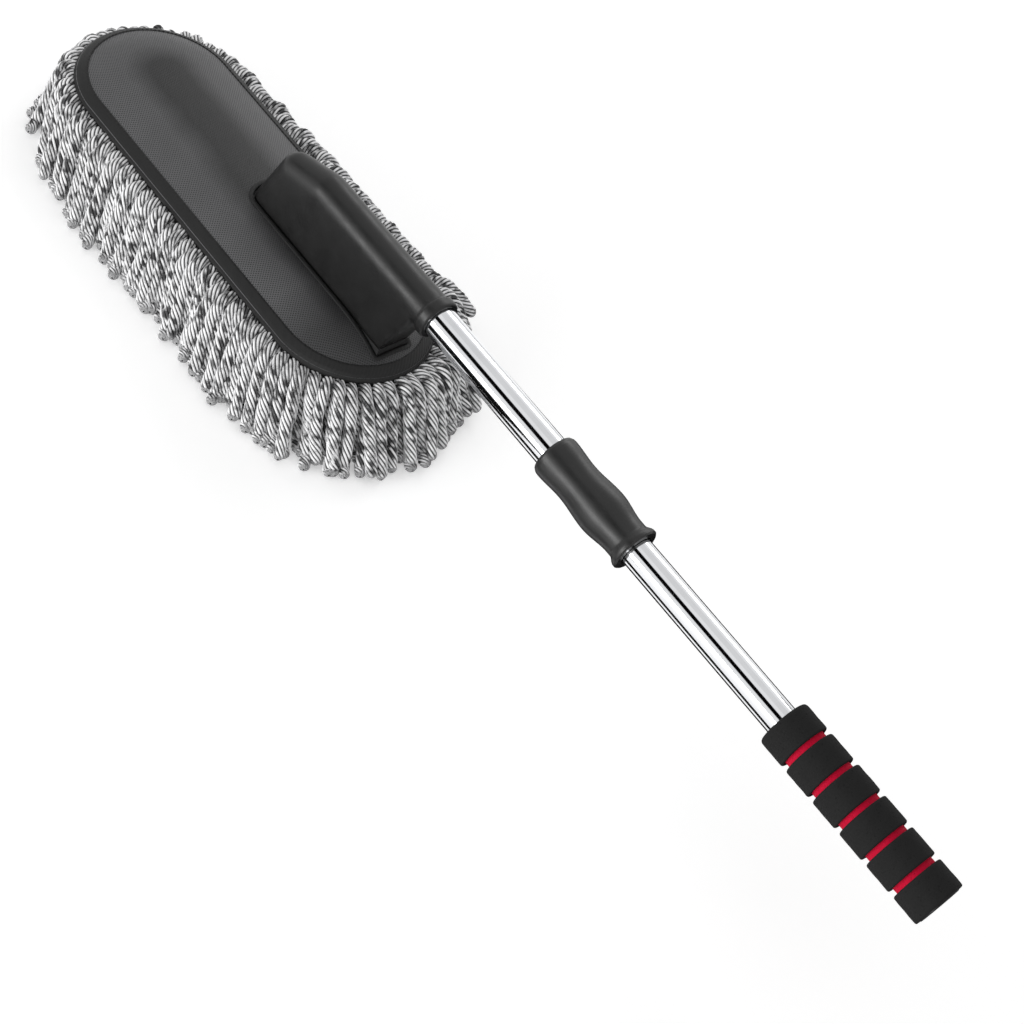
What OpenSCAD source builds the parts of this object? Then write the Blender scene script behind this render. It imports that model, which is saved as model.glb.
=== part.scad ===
// Long-reach duster with an oval noodle-yarn head on a two-section telescopic pole.
// Millimetres. Z is up and the yarn's flat underside is Z = 0. The oval head is centred on
// the origin, its long side runs along X, and the pole leaves the head towards +X.

/* [Head] */
// Length of the cover's rim
head_l = 332; // [300:2:372]
// Width of the cover's rim
head_w = 118; // [110:2:130]
// Height of the padded top above the rim
panel_rise = 14; // [11:1:16]
// Depth of the yarn below the rim
yarn_drop = 45; // [38:1:60]
// How far the yarn stands out past the rim
yarn_reach = 32; // [24:1:45]

/* [Socket spine] */
// Height of the pole's axis above the rim
pole_rise = 60; // [56:1:68]
// Length of upper tube held in the socket
socket_depth = 85; // [70:1:88]
// Wall of the moulded spine
spine_wall = 2; // [1.6:0.2:2.4]

/* [Pole] */
// Outside diameter of the upper tube
upper_d = 22; // [21.6:0.1:22.4]
// Wall of both tubes
tube_wall = 0.5; // [0.4:0.05:0.6]
// Upper tube in sight, socket to collar
upper_show = 112; // [80:1:200]
// Lower tube in sight, collar to grip
lower_show = 128.8; // [124:0.2:200]
// Furthest that the lower tube pulls out from here
pull_out = 60; // [40:1:70]

/* [Grip] */
// Number of black foam rings
ring_count = 6; // [4:1:8]
// Distance from one ring to the next
ring_pitch = 22.3; // [20:0.1:26]
// Diameter over the foam rings
grip_d = 33.5; // [33:0.5:38]

/* [Hidden] */
$fn = 64;
gap = 0.3;              // clearance between layers of the head
fit = 0.05;             // radial running clearance
past = 1;               // how far a cutter runs past the face that it cuts

black = [0.07, 0.07, 0.075];
soft_black = [0.1, 0.1, 0.1];
steel = [0.82, 0.83, 0.85];

// Head levels
rim_z = yarn_drop;
rim_r = head_w / 2;
half_run = head_l / 2 - rim_r;      // half the straight length of the oval
cover_t = 1.6;
cover_r = rim_r - 1;
board_t = 3;
board_r = rim_r - 5;
board_foot_z = rim_z - 3.3;
board_drop = cover_t + gap + 0.1;   // top of the board below the top of the cover
board_boss_r = 5.5;
head_recess_r = 3.8;
head_recess_l = 6;
rib_t = 2;
rib_count = 5;
rib_xs = [for (i = [1 : rib_count]) -i * (half_run + 23) / rib_count];
backing_z = rim_z - 13;
backing_t = 1.4;
piping_r = 2.4;
slot_gap = 1.1;         // round the spine's foot where it passes through the cover
slot_cut_h = 2 * panel_rise;
seat_z = rim_z + panel_rise - cover_t - gap;   // flat seat of the spine on the board

// Spine and socket
pole_z = rim_z + pole_rise;
mouth_x = head_l / 2 + 9;
tube_x0 = mouth_x - socket_depth;
sleeve_r = upper_d / 2 + spine_wall - 0.2;
web_half_w = sleeve_r - 0.4;
spine_x0 = 6;
nose_l = 11;            // length of the foot's rounded front
nose_r = 11.5;          // rounded upper end of the spine, ahead of the tube
nose_x = 30;
nose_drop = 8;          // below the pole's axis
sleeve_x0 = nose_x + 28;
web_end_x = head_l / 2 - 16;
tube_screw_x = tube_x0 + 12;
screw_xs = [spine_x0 + 19, tube_x0 - 20, tube_screw_x + 12, web_end_x - 10];
screw_r = 1.5;
screw_slack = 0.2;      // round a screw where it doesn't bite
screw_head_r = 3.4;
screw_head_l = 2.2;
boss_r = 4;

// Tubes
upper_r = upper_d / 2;
upper_bore_r = upper_r - tube_wall;
lower_r = upper_bore_r - 0.25;
lower_bore_r = lower_r - tube_wall;

// Collar
collar_x0 = mouth_x + upper_show;
collar_l = 78;
collar_x1 = collar_x0 + collar_l;
upper_x1 = collar_x1 - 28;
cavity_r = upper_r + 1.85;
collet_r = upper_r + 1;
collet_grip_l = 38;     // length pressed on the upper tube
neck_r = upper_r + 2.6;
lug_angle = 40;
lug_gap = 2;
lug_x0 = upper_x1 - 34;
lug_l = 6;
finger_x0 = upper_x1 + 4;
finger_x1 = upper_x1 + 16;
finger_tip_r = collet_r - 0.8;
wedge_x0 = upper_x1 + 6.5;
wedge_x1 = upper_x1 + 13.3;
end_ring_x0 = collar_x1 - 10.6;
wiper_x0 = end_ring_x0 + 3.5;
wiper_l = 3;
lip_t = 1.2;            // wall at the collar's mouth, in front of the lip ring
lip_ring_l = 6.7;

// Lower tube and grip
lower_x0 = upper_x1 + 0.5 - pull_out;
grip_x0 = collar_x1 + lower_show;
grip_l = ring_count * ring_pitch;
grip_x1 = grip_x0 + grip_l;
core_r = 13.6;
groove_w = 3.6;
first_ring_x0 = grip_x0 + groove_w / 2;
front_t = 2.2;
cap_t = 3.2;
lower_x1 = grip_x1 - cap_t - 0.2;

// Height of the padded top above the rim, at distance r from the oval's middle line
function dome(r) = panel_rise * (1 - pow(min(r, cover_r) / cover_r, 2.6));

function dome_points(r1, lift, steps = 14) =
    [for (i = [0 : steps]) let (r = r1 * i / steps) [r, rim_z + dome(r) + lift]];

function reversed(p) = [for (i = [len(p) - 1 : -1 : 0]) p[i]];

// A stadium-shaped solid from a half profile of [distance from middle line, height]
module oval(profile, run = half_run) {
    for (side = [0, 1])
        mirror([side, 0, 0])
            translate([run, 0, 0])
                rotate([0, 0, -90])
                    rotate_extrude(angle = 180)
                        polygon(profile);
    rotate([90, 0, 90])
        translate([0, 0, -run])
            linear_extrude(2 * run)
                union() {
                    polygon(profile);
                    mirror([1, 0]) polygon(profile);
                }
}

// A ring that runs round the oval, from a closed profile clear of the middle line
module oval_ring(run = half_run) {
    for (side = [0, 1])
        mirror([side, 0, 0])
            translate([run, 0, 0])
                rotate([0, 0, -90])
                    rotate_extrude(angle = 180)
                        children();
    for (side = [0, 1])
        mirror([0, side, 0])
            rotate([90, 0, 90])
                translate([0, 0, -run])
                    linear_extrude(2 * run)
                        children();
}

// A solid of revolution about the pole's axis, from [x, radius] points
module on_pole(profile, angle = 360, start = 0) {
    translate([0, 0, pole_z])
        rotate([0, 90, 0])
            rotate([0, 0, start])
                rotate_extrude(angle = angle)
                    polygon([for (p = profile) [p[1], p[0]]]);
}

module pole_ring(x0, x1, outer, inner) {
    on_pole([[x0, inner], [x1, inner], [x1, outer], [x0, outer]]);
}

module pole_rod(x0, x1, r) {
    translate([x0, 0, pole_z])
        rotate([0, 90, 0])
            cylinder(h = x1 - x0, r = r);
}

// ---- Head ----

// Outline of the spine's foot seen from above: a rounded front and a square end
function foot_plan(grow) = concat(
    [for (a = [-90 : 10 : 90])
        [spine_x0 - grow + (nose_l + grow) * (1 - cos(a)), (web_half_w + grow) * sin(a)]],
    [[web_end_x + grow, web_half_w + grow], [web_end_x + grow, -web_half_w - grow]]);

module foot_prism(grow, z0, h) {
    translate([0, 0, z0])
        linear_extrude(h)
            polygon(foot_plan(grow));
}

module mop_board() {
    top = dome_points(board_r, -board_drop);
    under = dome_points(board_r - board_t, -board_drop - board_t);
    foot = [[board_r, board_foot_z], [board_r - board_t, board_foot_z]];
    seat_h = seat_z - board_foot_z;
    seat_edge = 0.5;        // seat beyond the spine's foot
    seat_wall = 2;
    color(black)
        difference() {
            union() {
                oval(concat(top, foot, reversed(under)));
                // Raised seat for the spine, hollow from below, with a boss at each screw
                difference() {
                    foot_prism(seat_edge, board_foot_z, seat_h);
                    foot_prism(seat_edge - seat_wall, board_foot_z - past, seat_h + past - board_t);
                }
                for (x = screw_xs)
                    translate([x, 0, board_foot_z])
                        cylinder(h = seat_h - board_t / 2, r = board_boss_r);
                // Cross ribs under the part of the board ahead of the spine
                intersection() {
                    for (x = rib_xs)
                        translate([x - rib_t / 2, -board_r, board_foot_z])
                            cube([rib_t, 2 * board_r, 2 * panel_rise]);
                    oval(concat(dome_points(board_r - board_t / 2, -board_drop - board_t / 2),
                                [[board_r - board_t / 2, 0], [0, 0]]));
                }
            }
            for (x = screw_xs)
                translate([x, 0, board_foot_z - past]) {
                    cylinder(h = seat_h + 2 * past, r = screw_r + screw_slack);
                    cylinder(h = head_recess_l + past, r = head_recess_r);
                }
        }
}

// Space under the socket, seen from the side, as [x, z]
function hollow_side() = [
    [spine_x0 + 12, seat_z - 1],
    [spine_x0 + 17, seat_z + 24],
    [tube_x0 + 4, pole_z - sleeve_r],
    [web_end_x - 3, pole_z - sleeve_r],
    [web_end_x - 3, seat_z - 1]];

module socket_spine() {
    foot_t = 2.5;
    hollow_half_w = web_half_w - spine_wall - 0.6;
    sleeve_end_x = web_end_x + 13;
    ring_l = 9;
    ring_r = upper_r + 3.6;
    bore_r = upper_r + 0.2;
    cross_rib_t = 2;
    color(black)
        difference() {
            union() {
                // Body: the foot, the rounded nose and the full sleeve joined by even flanks
                hull() {
                    foot_prism(0, seat_z, foot_t);
                    translate([nose_x, 0, pole_z - nose_drop])
                        sphere(nose_r);
                    pole_rod(sleeve_x0, sleeve_end_x, sleeve_r);
                }
                pole_rod(web_end_x, mouth_x - ring_l + 2, sleeve_r + 0.2);
                // Mouth ring, set off by a shallow groove
                on_pole([[mouth_x - ring_l, bore_r], [mouth_x, bore_r], [mouth_x, ring_r - 1],
                         [mouth_x - 1.2, ring_r], [mouth_x - ring_l + 2.4, ring_r],
                         [mouth_x - ring_l + 1, ring_r - 1.2], [mouth_x - ring_l, ring_r - 2.4]]);
            }
            // Hollow web, with the screw bosses and their cross ribs left standing
            difference() {
                rotate([90, 0, 0])
                    translate([0, 0, -hollow_half_w])
                        linear_extrude(2 * hollow_half_w)
                            polygon(hollow_side());
                for (x = screw_xs) {
                    translate([x, 0, seat_z - 2 * past])
                        cylinder(h = 16, r = boss_r);
                    translate([x - cross_rib_t / 2, -web_half_w, seat_z - 2 * past])
                        cube([cross_rib_t, 2 * web_half_w, pole_z]);
                }
            }
            pole_rod(tube_x0 - 2, mouth_x + past, upper_r + fit);
            for (x = screw_xs)
                translate([x, 0, seat_z - 2 * past])
                    cylinder(h = 14, r = screw_r + fit);
            translate([tube_screw_x, 0, pole_z - sleeve_r - 4])
                cylinder(h = 8, r = screw_r + screw_slack);
        }
}

// A pan-head self-tapping screw that points up, its head's underside at z = 0
module screw(l) {
    slot_l = 3.6;
    slot_w = 0.8;
    slot_depth = 1.2;
    difference() {
        union() {
            cylinder(h = l, r = screw_r);
            translate([0, 0, -screw_head_l])
                cylinder(h = screw_head_l, r = screw_head_r);
        }
        for (a = [0, 90])
            rotate([0, 0, a])
                translate([-slot_l / 2, -slot_w / 2, -screw_head_l - past])
                    cube([slot_l, slot_w, slot_depth + past]);
    }
}

module spine_screws() {
    color(steel)
        for (x = screw_xs)
            translate([x, 0, board_foot_z + head_recess_l])
                screw(seat_z - board_foot_z + 4);
}

module tube_screw() {
    color(steel)
        translate([tube_screw_x, 0, pole_z - sleeve_r])
            screw(sleeve_r);
}

module tube_plug() {
    plug_l = 22;
    flange_t = 1.4;
    solid_l = 14;
    hollow_r = 7;
    color(soft_black)
        difference() {
            union() {
                pole_rod(tube_x0, tube_x0 + plug_l, upper_bore_r);
                pole_rod(tube_x0 - flange_t, tube_x0, upper_r);
            }
            translate([tube_screw_x, 0, pole_z - upper_r - past])
                cylinder(h = upper_r + 2, r = screw_r + fit);
            pole_rod(tube_x0 + solid_l, tube_x0 + plug_l + past, hollow_r);
        }
}

module cover_top() {
    lip = 0.8;
    outer = dome_points(cover_r, 0);
    edge = [[cover_r, rim_z - lip], [cover_r - cover_t, rim_z - lip]];
    inner = dome_points(cover_r - cover_t, -cover_t);
    color(soft_black)
        difference() {
            oval(concat(outer, edge, reversed(inner)));
            foot_prism(slot_gap, rim_z - past, slot_cut_h);
        }
}

module slot_binding() {
    tape_w = 2.9;
    tape_t = 1.4;
    lower = dome_points(cover_r - 8, 0.1);
    upper = dome_points(cover_r - 8, 0.1 + tape_t);
    color(black)
        intersection() {
            oval(concat(upper, reversed(lower)));
            difference() {
                foot_prism(slot_gap + 0.1 + tape_w, rim_z - past, slot_cut_h);
                foot_prism(slot_gap + 0.1, rim_z - 2 * past, slot_cut_h + 2 * past);
            }
        }
}

module cover_piping() {
    color(black)
        oval_ring()
            translate([rim_r - 2.2, rim_z - 3.5])
                circle(r = piping_r);
}

module foam_pad() {
    color("dimgray")
        oval([[0, backing_z + backing_t + 0.1], [board_r, backing_z + backing_t + 0.1],
              [board_r, board_foot_z - 0.2], [0, board_foot_z - 0.2]]);
}

module cover_backing() {
    wall_top = rim_z - 6.1;
    color("dimgray")
        oval([[0, backing_z], [cover_r, backing_z], [cover_r, wall_top],
              [cover_r - backing_t, wall_top], [cover_r - backing_t, backing_z + backing_t],
              [0, backing_z + backing_t]]);
}

module yarn_pile() {
    out = rim_r + yarn_reach;
    color("darkgray")
        oval([[0, 0], [out - 12, 0], [out - 3, 5], [out, 13], [out - 3, rim_z - 21],
              [out - 12, rim_z - 9], [out - 24, rim_z - 2], [rim_r + 1.2, rim_z - 1],
              [rim_r + 1.2, backing_z - 0.3], [0, backing_z - 0.3]]);
}

// ---- Pole ----

module upper_tube() {
    color(steel)
        difference() {
            pole_ring(tube_x0, upper_x1, upper_r, upper_bore_r);
            translate([tube_screw_x, 0, pole_z - upper_r - past])
                cylinder(h = tube_wall + 2 * past, r = screw_r + screw_slack);
        }
}

// Sectors on opposite sides of the pole, centred on the given turn
module lugs(r0, r1, x0, x1, centre) {
    for (a = [0, 180])
        on_pole([[x0, r0], [x1, r0], [x1, r1], [x0, r1]], lug_angle, centre + a - lug_angle / 2);
}

module lock_collet() {
    slits = 6;
    slit_w = 1.2;
    color(soft_black)
        difference() {
            union() {
                pole_ring(upper_x1 - collet_grip_l, upper_x1 + 0.2, collet_r, upper_r);
                on_pole([[upper_x1 + 0.2, lower_r + fit], [finger_x1, lower_r + fit],
                         [finger_x1, finger_tip_r], [finger_x0, collet_r],
                         [upper_x1 + 0.2, collet_r]]);
                lugs(collet_r - 0.3, cavity_r - 0.1, lug_x0, lug_x0 + lug_l, 0);
            }
            for (i = [0 : slits / 2 - 1])
                translate([finger_x0, 0, pole_z])
                    rotate([i * 360 / slits, 0, 0])
                        translate([0, -slit_w / 2, -2 * collet_r])
                            cube([finger_x1, slit_w, 4 * collet_r]);
        }
}

module lock_wedge() {
    taper = (collet_r - finger_tip_r) / (finger_x1 - finger_x0);
    wedge_gap = 0.06;
    inner0 = collet_r - taper * (wedge_x0 - finger_x0) + wedge_gap;
    inner1 = collet_r - taper * (wedge_x1 - finger_x0) + wedge_gap;
    color("dimgray")
        on_pole([[wedge_x0, inner0], [wedge_x1, inner1], [wedge_x1, cavity_r - 0.1],
                 [wedge_x0, cavity_r - 0.1]]);
}

// Outside of the collar: lip, waist, belly and neck, as a smooth run of radii
function collar_r(x) =
    x < 3 ? upper_r + 3.1 + 1.2 * sin(90 * x / 3) :
    x < 23 ? upper_r + 3.7 + 0.6 * cos(180 * (x - 3) / 20) :
    x < 47 ? upper_r + 4 - 0.9 * cos(180 * (x - 23) / 24) :
    x < 67 ? (upper_r + 4.9 + neck_r + (upper_r + 4.9 - neck_r) * cos(180 * (x - 47) / 20)) / 2 :
    neck_r;

module twist_collar() {
    steps = 36;
    main_l = end_ring_x0 - collar_x0;
    outer = [for (i = [0 : steps]) let (x = main_l * i / steps) [collar_x0 + x, collar_r(x)]];
    lip_x = collar_x0 + lip_t;
    seat_x = lip_x + lip_ring_l + gap;
    seat_r = cavity_r - 0.25;
    mouth_r = upper_r + 0.6;
    inner = [[end_ring_x0, cavity_r], [seat_x, cavity_r], [seat_x, seat_r],
             [lip_x, seat_r], [lip_x, mouth_r], [collar_x0, mouth_r]];
    color(black)
        union() {
            on_pole(concat(outer, inner));
            lugs(collet_r + 0.1, cavity_r + 0.3, lug_x0 - 1, lug_x0 + lug_l + 1,
                 lug_angle + lug_gap);
        }
}

module collar_end_ring() {
    flange_r = upper_r + 4.9;
    exit_r = lower_r + 0.9;
    spigot_l = 4;
    flare = [for (a = [-90 : 15 : 90])
        [end_ring_x0 + 5.6 + 2.8 * a / 90,
         (flange_r + neck_r + (flange_r - neck_r) * sin(a)) / 2]];
    outer = concat([[end_ring_x0, neck_r]], flare,
                   [[collar_x1 - 1, flange_r], [collar_x1, flange_r - 1]]);
    color(black)
        union() {
            difference() {
                on_pole(concat(outer, [[collar_x1, exit_r], [end_ring_x0, exit_r]]));
                pole_ring(wiper_x0 - 0.1, wiper_x0 + wiper_l + 0.1, upper_r + 1, lower_r);
            }
            pole_ring(end_ring_x0 - spigot_l, end_ring_x0 + past, cavity_r - fit, collet_r);
        }
}

module collar_lip_ring() {
    color("dimgray")
        pole_ring(collar_x0 + lip_t + 0.1, collar_x0 + lip_t + 0.1 + lip_ring_l,
                  cavity_r - 0.27, upper_r + 0.06);
}

module wiper_ring() {
    color([0.15, 0.15, 0.15])
        pole_ring(wiper_x0, wiper_x0 + wiper_l, upper_r + 0.98, lower_r + 0.07);
}

module lower_tube() {
    color(steel)
        pole_ring(lower_x0, lower_x1, lower_r, lower_bore_r);
}

module guide_bush() {
    bush_l = 10;
    stem_l = 16;
    hole_r = 6;
    color("whitesmoke")
        difference() {
            union() {
                pole_rod(lower_x0 - bush_l, lower_x0 - 0.1, upper_bore_r - fit);
                pole_rod(lower_x0 - past, lower_x0 + stem_l, lower_bore_r - fit);
            }
            pole_rod(lower_x0 - bush_l - past, lower_x0 + stem_l + past, hole_r);
        }
}

// ---- Grip ----

module grip_core() {
    color([0.78, 0.03, 0.2])
        pole_ring(first_ring_x0 + front_t + 0.1, lower_x1, core_r, lower_r);
}

module grip_segments() {
    edge = 2.5;
    long = ring_pitch - groove_w;
    outer_r = grip_d / 2;
    round_up = [for (a = [0 : 15 : 90])
        [edge - edge * cos(a), outer_r - edge + edge * sin(a)]];
    round_down = [for (a = [0 : 15 : 90])
        [long - edge + edge * sin(a), outer_r - edge + edge * cos(a)]];
    section = concat([[0, core_r]], round_up, round_down, [[long, core_r]]);
    color(black)
        union() {
            for (i = [0 : ring_count - 1])
                translate([first_ring_x0 + i * ring_pitch, 0, 0])
                    on_pole(section);
            // The first ring also covers the front of the red sleeve
            pole_ring(first_ring_x0, first_ring_x0 + front_t, core_r + 0.5, lower_r + fit);
        }
}

module end_cap() {
    stem_l = 20;
    solid_l = 4;
    color(black)
        difference() {
            union() {
                pole_rod(lower_x1 + 0.1, grip_x1 - groove_w / 2 + 0.4, core_r - 0.1);
                pole_rod(lower_x1 - stem_l, lower_x1 + 0.2, lower_bore_r);
            }
            pole_rod(lower_x1 - stem_l - past, lower_x1 - solid_l, lower_bore_r - 2);
        }
}

mop_board();
socket_spine();
spine_screws();
tube_screw();
tube_plug();
cover_top();
slot_binding();
cover_piping();
foam_pad();
cover_backing();
yarn_pile();
upper_tube();
lock_collet();
lock_wedge();
twist_collar();
collar_end_ring();
collar_lip_ring();
wiper_ring();
lower_tube();
guide_bush();
grip_core();
grip_segments();
end_cap();
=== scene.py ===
"""Looks for a telescopic duster: a noodle-yarn head under a padded black cover, a spine
with a pole socket, chrome tubes, a twist collar and a ribbed foam grip. All in metres."""

import math

import bmesh
import bpy
import numpy as np
from mathutils import Matrix, Vector


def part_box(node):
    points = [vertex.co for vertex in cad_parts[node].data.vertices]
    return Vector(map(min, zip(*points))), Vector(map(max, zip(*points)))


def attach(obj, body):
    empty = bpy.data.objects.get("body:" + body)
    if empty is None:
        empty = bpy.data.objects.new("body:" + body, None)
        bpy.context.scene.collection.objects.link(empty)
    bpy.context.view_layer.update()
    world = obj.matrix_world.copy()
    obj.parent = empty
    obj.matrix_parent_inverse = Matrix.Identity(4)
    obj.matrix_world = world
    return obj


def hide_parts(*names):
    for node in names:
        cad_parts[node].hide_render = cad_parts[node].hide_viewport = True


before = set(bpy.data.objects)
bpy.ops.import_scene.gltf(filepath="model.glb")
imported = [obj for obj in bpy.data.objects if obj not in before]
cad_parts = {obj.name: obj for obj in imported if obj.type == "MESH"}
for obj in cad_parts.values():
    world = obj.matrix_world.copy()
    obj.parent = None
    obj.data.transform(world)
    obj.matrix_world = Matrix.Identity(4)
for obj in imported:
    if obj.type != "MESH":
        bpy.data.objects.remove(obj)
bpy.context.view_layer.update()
MM = 0.001
rng = np.random.default_rng(7)

# ---- Sizes taken from the frame ----

cover_lo, cover_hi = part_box("cover_top")
piping_lo, piping_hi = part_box("cover_piping")
back_lo, back_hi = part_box("cover_backing")
pad_lo, pad_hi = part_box("foam_pad")
slot_lo, slot_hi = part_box("slot_binding")
spine_lo, spine_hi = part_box("socket_spine")
upper_lo, upper_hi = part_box("upper_tube")
lower_lo, lower_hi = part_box("lower_tube")
grip_lo, grip_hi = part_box("grip_segments")
core_lo, core_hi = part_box("grip_core")

POLE_Z = (upper_lo[2] + upper_hi[2]) / 2
UPPER_R = (upper_hi[2] - upper_lo[2]) / 2
LOWER_R = (lower_hi[2] - lower_lo[2]) / 2
COVER_R = cover_hi[1]
HALF_RUN = cover_hi[0] - COVER_R
RIM_R = piping_hi[1]
PIPING_R = (piping_hi[2] - piping_lo[2]) / 2
PIPING_Z = (piping_hi[2] + piping_lo[2]) / 2
BACK_Z = back_lo[2]
COVER_BASE_Z = cover_lo[2]
COVER_RISE = cover_hi[2] - cover_lo[2]

# ---- Sizes chosen for the look ----

DOME_POWER = 2.6            # flatter on top and steeper at the rim as it grows
COVER_T = 1.5 * MM          # the cover's fabric
SLOT_TAPE_W = 3.0 * MM      # tape round the spine's slot
SLOT_X0 = slot_lo[0] + SLOT_TAPE_W
SLOT_X1 = slot_hi[0] - SLOT_TAPE_W
SLOT_HALF = slot_hi[1] - SLOT_TAPE_W
SLOT_NOSE = 12 * MM
TAPE_REACH = 7.5 * MM       # the rim's tape, from the rim in over the panel
STITCH_IN = 0.9 * MM        # stitches, from the tape's inner edge
STITCHES = 240
MESH_PITCH = 2.1 * MM       # the panel's knitted holes
RIB_PITCH = 1.2 * MM        # the tape's woven ribs

STRANDS = 8                 # yarn strands in a noodle
ROPE_R = 4.0 * MM           # a noodle's radius
PITCH = 31 * MM             # length of one turn of the twist
SIDES = 3 * STRANDS         # points round a noodle
RINGS = 46                  # rings of points along a noodle
TIP_RINGS = 7               # how many of them round its tip
GROOVE, PLY_GROOVE = 0.84, 0.64     # radius left between strands, and between the two plies
NOODLES_PER_PIECE = 85
LEAN = np.array([0.52, -0.27, -0.81])       # the way the yarn hangs
# Rows of noodles: distance from the middle line and height above the backing's underside in
# millimetres, rise of the first stretch, length in millimetres, how soon they bend as a
# fraction of the length, spacing in millimetres
ROWS = [
    (57.5, 5.0, 0.35, 66, 0.34, 7.7),
    (57.5, 2.5, 0.10, 64, 0.32, 7.9),
    (57.0, 0.5, -0.15, 58, 0.30, 8.1),
    (53.5, -1.0, -0.50, 49, 0.30, 8.5),
    (46.0, -1.0, -0.90, 39, 0.30, 8.9),
    (37.5, -1.0, -1.50, 34, 0.30, 9.6),
    (29.0, -1.0, -2.50, 31, 0.30, 9.6),
    (20.5, -1.0, -3.00, 30, 0.30, 9.6),
    (12.0, -1.0, -3.00, 29, 0.30, 9.6),
    (4.0, -1.0, -3.00, 29, 0.30, 9.6),
]

TUBE_WALL = 0.5 * MM
GRIP_RINGS = 6
GRIP_GROOVE = 3.6 * MM
FRONT_T = 2.2 * MM          # the first ring's front wall

AMBIENT = 0.62              # the room's light on the object
AMBIENT_SEEN = 0.85         # the room's brightness in reflections
FLOOR_GLOW = 0.27
# Flags round the pole: angle from the camera's side, half width, softness, brightness left
FLAGS = [(0, 10.5, 2.5, 0.0), (52, 15, 6, 0.85), (106, 4, 3, 0.25), (180, 14, 6, 0.1),
         (-180, 14, 6, 0.1)]
AIM = Vector((0.3083, -0.0519, POLE_Z))
AZIMUTH, ELEVATION, DISTANCE, ROLL = 27.09, 48.63, 1.1406, 29.05
FIELD = 28.95


# ---- Mesh helpers ----

def mesh_object(name, verts, quads, material, uv=None, smooth=True, tris=None):
    """A mesh object from arrays of points and faces, with an optional UV for each corner."""
    mesh = bpy.data.meshes.new(name)
    faces = [np.asarray(quads, dtype=np.int32).reshape(-1, 4)]
    if tris is not None and len(tris):
        faces.append(np.asarray(tris, dtype=np.int32).reshape(-1, 3))
    loops = np.concatenate([f.ravel() for f in faces])
    sizes = np.concatenate([np.full(len(f), f.shape[1]) for f in faces])
    starts = np.concatenate([[0], np.cumsum(sizes)[:-1]])
    mesh.vertices.add(len(verts))
    mesh.vertices.foreach_set("co", np.asarray(verts, dtype=np.float32).ravel())
    mesh.loops.add(len(loops))
    mesh.loops.foreach_set("vertex_index", loops)
    mesh.polygons.add(len(sizes))
    mesh.polygons.foreach_set("loop_start", starts.astype(np.int32))
    mesh.polygons.foreach_set("loop_total", sizes.astype(np.int32))
    if uv is not None:
        for layer_name, values in uv.items():
            layer = mesh.uv_layers.new(name=layer_name)
            layer.data.foreach_set("uv", np.asarray(values, dtype=np.float32).ravel())
    mesh.update(calc_edges=True)
    mesh.validate()
    if smooth:
        mesh.shade_smooth()
    mesh.materials.append(material)
    obj = bpy.data.objects.new(name, mesh)
    bpy.context.collection.objects.link(obj)
    return obj


def place(obj, body, slot, *nodes):
    """The piece rides on a body and stands for CAD nodes; the slot argument is not used."""
    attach(obj, body)
    if nodes:
        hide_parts(*nodes)
    return obj


def grid_faces(rows, cols, wrap_cols=True, wrap_rows=False):
    """Quads of a rows x cols grid of points, optionally closed in each direction."""
    r = np.arange(rows if wrap_rows else rows - 1)
    c = np.arange(cols if wrap_cols else cols - 1)
    rr, cc = np.meshgrid(r, c, indexing="ij")
    r2, c2 = (rr + 1) % rows, (cc + 1) % cols
    corners = [rr * cols + cc, r2 * cols + cc, r2 * cols + c2, rr * cols + c2]
    return np.stack(corners, -1).reshape(-1, 4)


def lathe(name, profile, material, sides, uneven=None):
    """Turns closed [x, radius] points about the pole's axis; uneven(x, angle) adds to r."""
    p = np.asarray(profile, dtype=float)
    a = np.arange(sides) * 2 * math.pi / sides
    x = np.repeat(p[:, 0][:, None], sides, 1)
    r = np.repeat(p[:, 1][:, None], sides, 1)
    if uneven is not None:
        r = r + uneven(x, a[None, :])
    verts = np.stack([x, r * np.sin(a), POLE_Z + r * np.cos(a)], -1).reshape(-1, 3)
    return mesh_object(name, verts, grid_faces(len(p), sides, True, True), material)


def rounded(points, radius, steps=5):
    """A closed [x, r] outline with each corner cut by a small arc."""
    out = []
    n = len(points)
    for i in range(n):
        p0, p1, p2 = (np.array(points[(i + k) % n], dtype=float) for k in (-1, 0, 1))
        d0, d2 = p0 - p1, p2 - p1
        cut = min(radius, np.linalg.norm(d0) * 0.45, np.linalg.norm(d2) * 0.45)
        a = p1 + d0 / np.linalg.norm(d0) * cut
        b = p1 + d2 / np.linalg.norm(d2) * cut
        for t in np.linspace(0, 1, steps):
            out.append((1 - t) ** 2 * a + 2 * t * (1 - t) * p1 + t ** 2 * b)
    return out


def apply_modifiers(obj):
    """Replaces the mesh by what its modifiers make of it."""
    graph = bpy.context.evaluated_depsgraph_get()
    mesh = bpy.data.meshes.new_from_object(obj.evaluated_get(graph), depsgraph=graph)
    old = obj.data
    obj.modifiers.clear()
    obj.data = mesh
    bpy.data.meshes.remove(old)


def oval_frame(count, run=HALF_RUN, radius=COVER_R):
    """Evenly spaced stations round the oval: middle-line points and outward normals."""
    straight, cap = 2 * run, math.pi * radius
    total = 2 * (straight + cap)
    base = np.zeros((count, 2))
    normal = np.zeros((count, 2))
    for i, d in enumerate(np.arange(count) * total / count):
        if d < straight:
            base[i], normal[i] = (-run + d, 0), (0, -1)
        elif d < straight + cap:
            a = -math.pi / 2 + (d - straight) / radius
            base[i], normal[i] = (run, 0), (math.cos(a), math.sin(a))
        elif d < 2 * straight + cap:
            base[i], normal[i] = (run - (d - straight - cap), 0), (0, 1)
        else:
            a = math.pi / 2 + (d - 2 * straight - cap) / radius
            base[i], normal[i] = (-run, 0), (math.cos(a), math.sin(a))
    return base, normal


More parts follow.
